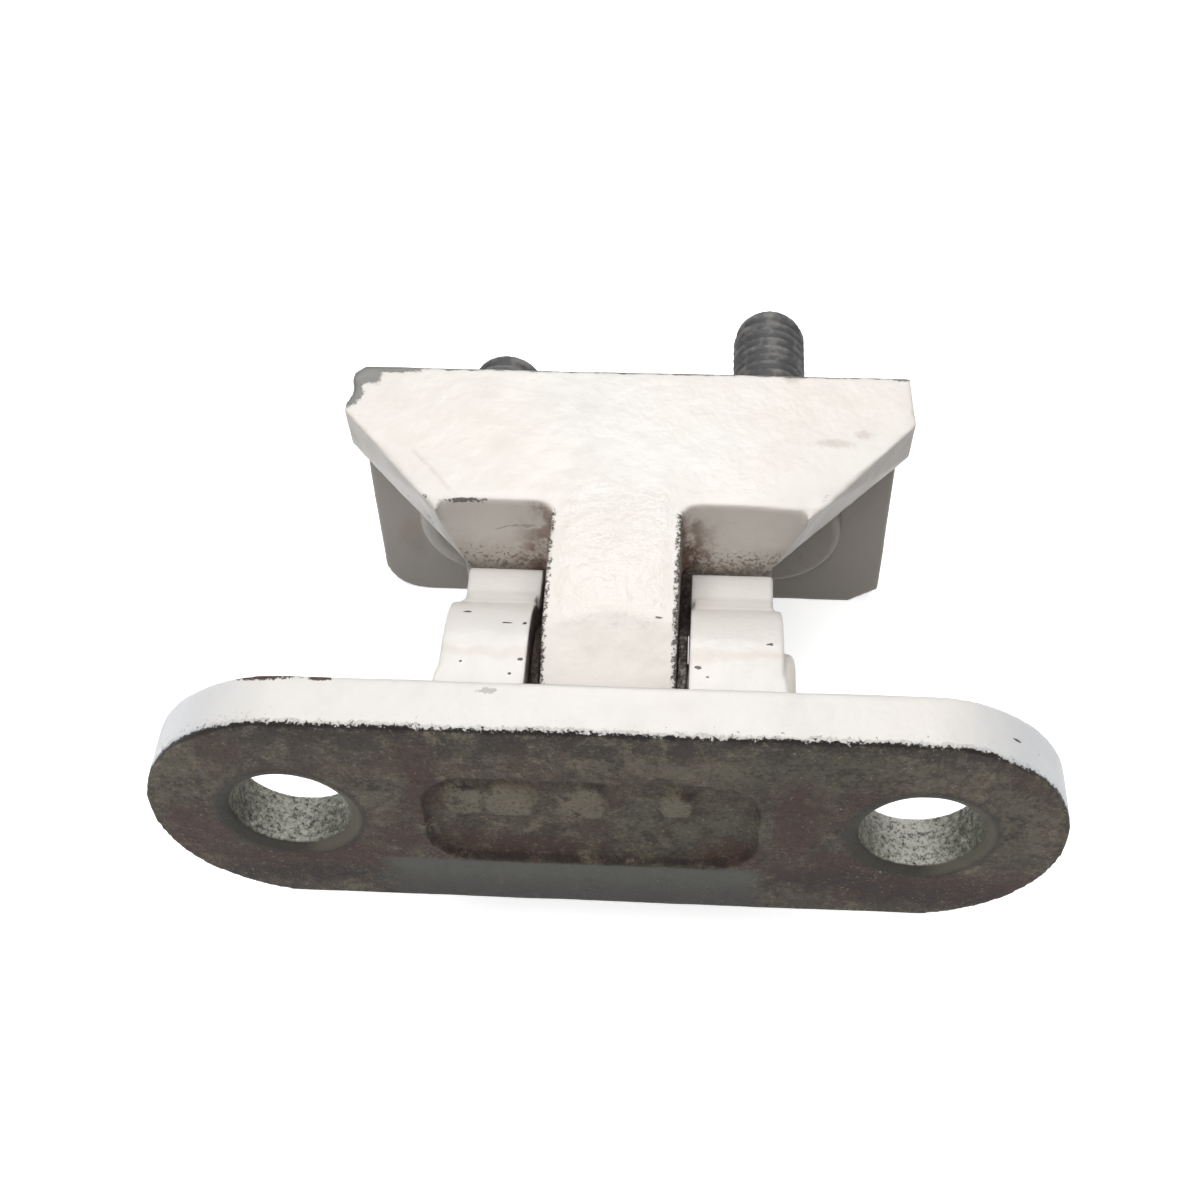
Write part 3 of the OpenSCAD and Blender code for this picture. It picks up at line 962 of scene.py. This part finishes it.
zinc = post_paint.lay(zinc, WORN_PAD, pads * mottle.rise(0.38, 0.48) * 0.85)
zinc = post_paint.lay(zinc, SOOT, z.rise(8.5, 13.0) * mottle.rise(0.62, 0.42) * 0.85)
print("tinted pads:", len(PADS))

# %% Rust, painted shade low on the face, and grit
LOW_FACE_SHADE = (0.035, 0.022, 0.02)
GRIT_DARK = (0.03, 0.025, 0.022)
GRIT_PALE = (0.66, 0.60, 0.46)
RED_PLACES = [
    ((-36.5, 0, -3.5), (3.0, 9.0, 4.5)), ((-29.5, 0, -8.0), (6.5, 9.0, 2.6)),
    ((-22.5, 0, -6.0), (4.0, 9.0, 2.6)), ((-18.5, 0, -3.0), (2.4, 9.0, 1.8)),
    ((-15.4, 0, 4.5), (1.6, 9.0, 4.5)), ((-8.0, 0, -4.6), (6.5, 9.0, 1.8)),
    ((11.0, 0, -4.2), (3.0, 9.0, 2.0)), ((16.5, 0, 0.5), (2.0, 9.0, 7.0)),
    ((19.5, 0, -6.0), (4.8, 9.0, 3.0)), ((29.0, 0, -8.8), (9.0, 9.0, 2.6))]
red = post_paint.patches(RED_PLACES, ragged=0.5, soft=0.5)
red_grain = post_paint.cloud(1.3, 7, 0.75, shift=88)
zinc = post_paint.lay(zinc, RUST, red * red_grain.rise(0.30, 0.50) * 0.85)
# Painted shade: near-black patches along the lower corners of the face, broken up by grain.
low_face_shade = post_paint.patches([((20.5, 0, -7.8), (5.5, 9.0, 1.9)), ((30.0, 0, -9.8), (8.5, 9.0, 1.8)),
                            ((-27.5, 0, -9.8), (8.0, 9.0, 1.6))], ragged=0.4, soft=0.5)
zinc = post_paint.lay(zinc, LOW_FACE_SHADE, low_face_shade * red_grain.rise(0.68, 0.48) * 0.9)
zinc = post_paint.lay(zinc, GRIT_DARK, grit.rise(0.44, 0.36) * 0.85)
zinc = post_paint.lay(zinc, GRIT_PALE, grit.rise(0.60, 0.66) * mottle.rise(0.40, 0.55) * 0.85)
print("rust places:", len(RED_PLACES))

# %% The smooth band, the groove and the hole rims
BAND_TOP = (0.125, 0.13, 0.115)
BAND_LOW = (0.04, 0.038, 0.034)
BAND_BLOT = (0.07, 0.055, 0.05)
GROOVE_DARK = (0.045, 0.03, 0.028)
RIM_STEEL = (0.30, 0.28, 0.22)
RIM_SHADE = (0.07, 0.065, 0.055)
RING_DARK = (0.05, 0.042, 0.036)
SHOULDER_DARK = (0.03, 0.026, 0.024)
band_edge = (post_paint.cloud(2.5, 4, 0.6, shift=97) - 0.5) * 2.0
smooth_band = ((abs(x + 3.0) + band_edge * 2).rise(18.5, 15.5)
               * (z + band_edge * 0.5).rise(-6.3, -6.9))
band_colour = post_paint.lay(BAND_TOP, BAND_LOW, z.rise(-6.6, -12.5))
band_colour = post_paint.lay(band_colour, BAND_BLOT, mottle.rise(0.42, 0.34) * 0.7)
zinc = post_paint.lay(zinc, band_colour, smooth_band * 0.92)
groove = abs(from_pocket + 0.15).rise(0.5, 0.1) * mottle.rise(0.62, 0.45)
zinc = post_paint.lay(zinc, GROOVE_DARK, groove * 0.75)
rim_metal = in_rim * from_bolt.rise(bolt_r, bolt_r + 0.2)
from_axis_x = x + bolt_x - x.rise(-0.5, 0.5) * (2 * bolt_x)
zinc = post_paint.lay(zinc, RIM_STEEL, rim_metal * 0.8)
zinc = post_paint.lay(zinc, RIM_SHADE, rim_metal * from_axis_x.rise(3.0, 0.0) * 0.8)
ring = abs(from_bolt - bolt_r - RIM - 0.2).rise(0.55, 0.05)
zinc = post_paint.lay(zinc, RING_DARK, ring * 0.6)
# Painted shade and grime: the rounded shoulder round the face is near black, partly a dark line of
# grime at the paint's edge and partly painted shade over the light the rounded edge catches.
shoulder = y.rise(0.10, 0.22) * (1 - in_pocket) * (1 - in_rim)
zinc = post_paint.lay(zinc, SHOULDER_DARK, shoulder * 0.92)
print("rim ring at radius", round(bolt_r + RIM + 0.2, 2))

# %% The bright bores with their painted light, and the whole finish
BORE_PAINTED_LIGHT = (0.97, 0.95, 0.86)
bore_grain = post_paint.cloud(0.45, 6, 0.8, shift=91)
bore_metal = post_paint.ramp(bore_grain, [(0.36, (0.06, 0.06, 0.05)), (0.47, (0.20, 0.205, 0.17)),
                                          (0.56, (0.42, 0.42, 0.34)), (0.66, (0.92, 0.90, 0.78))])
# Painted light: a bright pool on the lower half of each bore, stronger in the right bore.
sunlit = (z.rise(0.5, -4.0) * abs(abs(x) - bolt_x - x.rise(0.5, -0.5)).rise(4.4, 0.8)
          * bore_grain.rise(0.38, 0.54) * (0.60 + x.rise(-10, 10) * 0.35))
bore_metal = post_paint.lay(bore_metal, BORE_PAINTED_LIGHT, sunlit)
zinc = post_paint.lay(zinc, bore_metal, in_bore)
bead = paint_line.rise(-0.05, 0.10) * paint_line.rise(0.35, 0.15)
colour = post_paint.lay(colour, zinc, bare)
corroded = (mottle * 0.75 + post_paint.cloud(0.8, 5, 0.75, shift=95) * 0.35 + grit * 0.30
            + bore_grain * in_bore * 0.4) * (1 - smooth_band * 0.85)
post_paint.wear(colour, rough * (1 - bare) + bare * (0.60 - in_bore * 0.20),
                height * (1 - bare) + bead * 0.03 * (1 - bare)
                + bare * (corroded * (1 - in_bore * 0.5) - 0.3),
                bare * (0.12 + in_bore * 0.15))
post_paint.put_on(pillar)

# %% [markdown]
# ## Finishes of the studs, the pin and the bushes
# The studs are dark phosphated steel whose thread crests are rubbed brighter, and their
# heads took the leaf's paint, which is laid over with painted shade. The pin's head is
# painted over too. The bush collars are grimy bronze with old grease in the gaps.

# %% Blacken the studs
DARK_STEEL = (0.10, 0.10, 0.104)
CREST_STEEL = (0.26, 0.26, 0.255)
THREAD_DUST = (0.30, 0.28, 0.25)
SHADED_HEAD = (0.42, 0.37, 0.31)
stud_steel = Finish("phosphated_stud_steel")
axis_x = abs(stud_steel.x - leaf_middle) - stud_x
across = stud_steel.start.node("CombineXYZ", {}, {0: axis_x, 2: stud_steel.z - stud_z})
radius = stud_steel.vector("LENGTH", across, output="Value")
crest = radius.rise(stud_r - 0.4, stud_r - 0.02)
dusty = stud_steel.cloud(1.6, 4, 0.6)
steel_colour = stud_steel.lay(DARK_STEEL, CREST_STEEL, crest * dusty.rise(0.3, 0.7))
steel_colour = stud_steel.lay(steel_colour, THREAD_DUST, dusty.rise(0.50, 0.68) * 0.5)
headed = stud_steel.y.rise(rear_front_y + 0.3, rear_front_y + 0.1)
painted, _, paint_height = old_paint(stud_steel)
# Painted shade: each head is painted a shaded brown, leaving white paint only on the left stud's
# left rim.
shaded_head_face = radius.rise(HEAD_R - 1.2, HEAD_R - 2.2).at_least(stud_steel.x.rise(-19.5, -16.5))
painted = stud_steel.lay(painted, SHADED_HEAD, shaded_head_face * 0.85)
steel_colour = stud_steel.lay(steel_colour, painted, headed)
stud_steel.wear(steel_colour, 0.55 + dusty * 0.2 - headed * 0.25,
                dusty * 0.08 + paint_height * headed, 0.35 - headed * 0.35)
stud_steel.put_on(long_stud, short_stud)

# %% Paint the pin's ends
PIN_STEEL = (0.45, 0.44, 0.42)
pin_finish = Finish("painted_pin")
painted, _, paint_height = old_paint(pin_finish)
right_end = pin_finish.x.rise(ear_side - 0.3, ear_side - 0.1)
left_end = pin_finish.x.rise(pin_low.x + 0.3, pin_low.x + 0.1)
outside = right_end.at_least(left_end)
pin_chips = pin_finish.spots(2.5, 0.2, 0.3)
pin_colour = pin_finish.lay(PIN_STEEL, painted, outside)
pin_colour = pin_finish.lay(pin_colour, PRIMER_BROWN, pin_chips * outside)
pin_finish.wear(pin_colour, 0.3 + outside * 0.1 + pin_finish.cloud(0.8, 3, 0.6) * 0.1,
                paint_height - pin_chips * 0.03, 1 - outside)
pin_finish.put_on(pin)

# %% Tarnish the bushes
OLD_GREASE = (0.035, 0.018, 0.012)
bronze = Finish("grimy_bronze")
tarnish = bronze.cloud(0.55, 6, 0.75)
bronze_colour = bronze.ramp(tarnish, [(0.38, (0.02, 0.016, 0.013)), (0.5, (0.11, 0.095, 0.075)),
                                      (0.62, (0.42, 0.40, 0.35))])
bronze_colour = bronze.lay(bronze_colour, OLD_GREASE, bronze.x.rise(2.0, -2.0) * 0.8)
bronze.wear(bronze_colour, 0.45 + tarnish * 0.2, tarnish * 0.3, 0.3)
bronze.put_on(bush_left, bush_right)

# %% [markdown]
# ## Each piece takes its place
# A finished piece rides on the body that carries its node and hides that node.

# %% Ride and replace
PIECES = [
    (pillar, "pillar_side", "pillar_leaf", "painted_forging"),
    (pin, "pillar_side", "hinge_pin", "pin_steel"),
    (stud, "door_side", "stud_leaf", "painted_forging"),
    (bush_left, "door_side", "bush_left", "bush_bronze"),
    (bush_right, "door_side", "bush_right", "bush_bronze"),
    (long_stud, "door_side", "stud_long", "stud_steel"),
    (short_stud, "door_side", "stud_short", "stud_steel"),
]
for piece, body, node, slot in PIECES:
    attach(piece, body)
    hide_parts(node)
    print(piece.name, "rides on", body)

# %% [markdown]
# ## Floor, light and camera
# The hinge stands in a plain white studio. One broad light hangs above and a little behind,
# so tops are bright and fronts fall into soft shade. A second broad one hangs above the
# front and lifts the fronts a little, a small one behind gives the tops their sheen, and two
# weak ones at the sides and a weak sky fill the shade.

# %% Lay the floor
FLOOR_GLOW = 0.7
bpy.ops.mesh.primitive_plane_add(size=6, location=(0, 0, leaf_low.z * MM))
floor = bpy.context.object
floor.name = "floor"
floor_finish = bpy.data.materials.new("white_floor")
floor_finish.use_nodes = True
floor_shader = floor_finish.node_tree.nodes["Principled BSDF"]
floor_shader.inputs["Base Color"].default_value = (0.88, 0.88, 0.88, 1)
floor_shader.inputs["Roughness"].default_value = 0.9
floor_shader.inputs["Emission Color"].default_value = (1, 1, 1, 1)
floor_shader.inputs["Emission Strength"].default_value = FLOOR_GLOW
floor.data.materials.append(floor_finish)
floor.visible_diffuse = False
print("floor at z =", round(leaf_low.z, 2))

# %% Hang the lights


def soft_light(name, size, power, place, aim=(0, 0.03, 0), colour=(1, 1, 1)):
    """A square area light of this size in metres, turned towards a point."""
    bpy.ops.object.light_add(type="AREA", location=place)
    lamp = bpy.context.object
    lamp.name = name
    lamp.data.size = size
    lamp.data.energy = power
    lamp.data.color = colour
    direction = Vector(aim) - Vector(place)
    lamp.rotation_euler = direction.to_track_quat("-Z", "Y").to_euler()
    print(name, "shines with", power, "W")


soft_light("overhead", 0.6, 2.8, (0.0, 0.16, 0.58))
soft_light("window", 0.11, 0.28, (-0.02, 0.40, 0.45))
soft_light("left_fill", 0.3, 0.24, (-0.5, -0.12, 0.22), colour=(1.0, 0.95, 0.89))
soft_light("right_fill", 0.3, 0.15, (0.5, -0.12, 0.22), colour=(1.0, 0.94, 0.87))
soft_light("front_fill", 0.4, 1.45, (-0.10, -0.28, 0.55))

# %% Fill the shade with a weak sky that is darker below
world = bpy.data.worlds.new("soft_sky")
world.use_nodes = True
sky_start = Wire(world.node_tree, None)
looking = sky_start.node("TexCoord", {}, {}, "Generated")
upward = sky_start.node("SeparateXYZ", {}, {0: looking}, 2)
sky = world.node_tree.nodes["Background"]
sky.inputs["Color"].default_value = (0.96, 0.98, 1.0, 1)
world.node_tree.links.new((0.03 + upward.rise(-0.2, 0.3) * 0.07).socket, sky.inputs["Strength"])
bpy.context.scene.world = world
bpy.context.scene.view_settings.view_transform = "Standard"

# %% Place the camera
CAMERA_PLACE = Vector((7.50, -83.22, 130.80))
CAMERA_AIM = Vector((-1.68, 25.47, 0))
CAMERA_ROLL = 1.99
LENS = 53.23
bpy.ops.object.camera_add(location=CAMERA_PLACE * MM)
camera = bpy.context.object
camera.data.lens = LENS
camera.data.sensor_width = 36
camera.data.clip_start = 0.01
turned = (CAMERA_AIM - CAMERA_PLACE).to_track_quat("-Z", "Y").to_matrix().to_4x4()
camera.matrix_world = (Matrix.Translation(CAMERA_PLACE * MM) @ turned
                       @ Matrix.Rotation(-math.radians(CAMERA_ROLL), 4, "Z"))
bpy.context.scene.camera = camera
print("camera up:", [round(v, 4) for v in camera.matrix_world.col[1][:3]])

# %% [markdown]
# ## Last step
# The looks must not grow the hinge. The view layer is updated once more.

# %% Update the scene
bpy.context.view_layer.update()
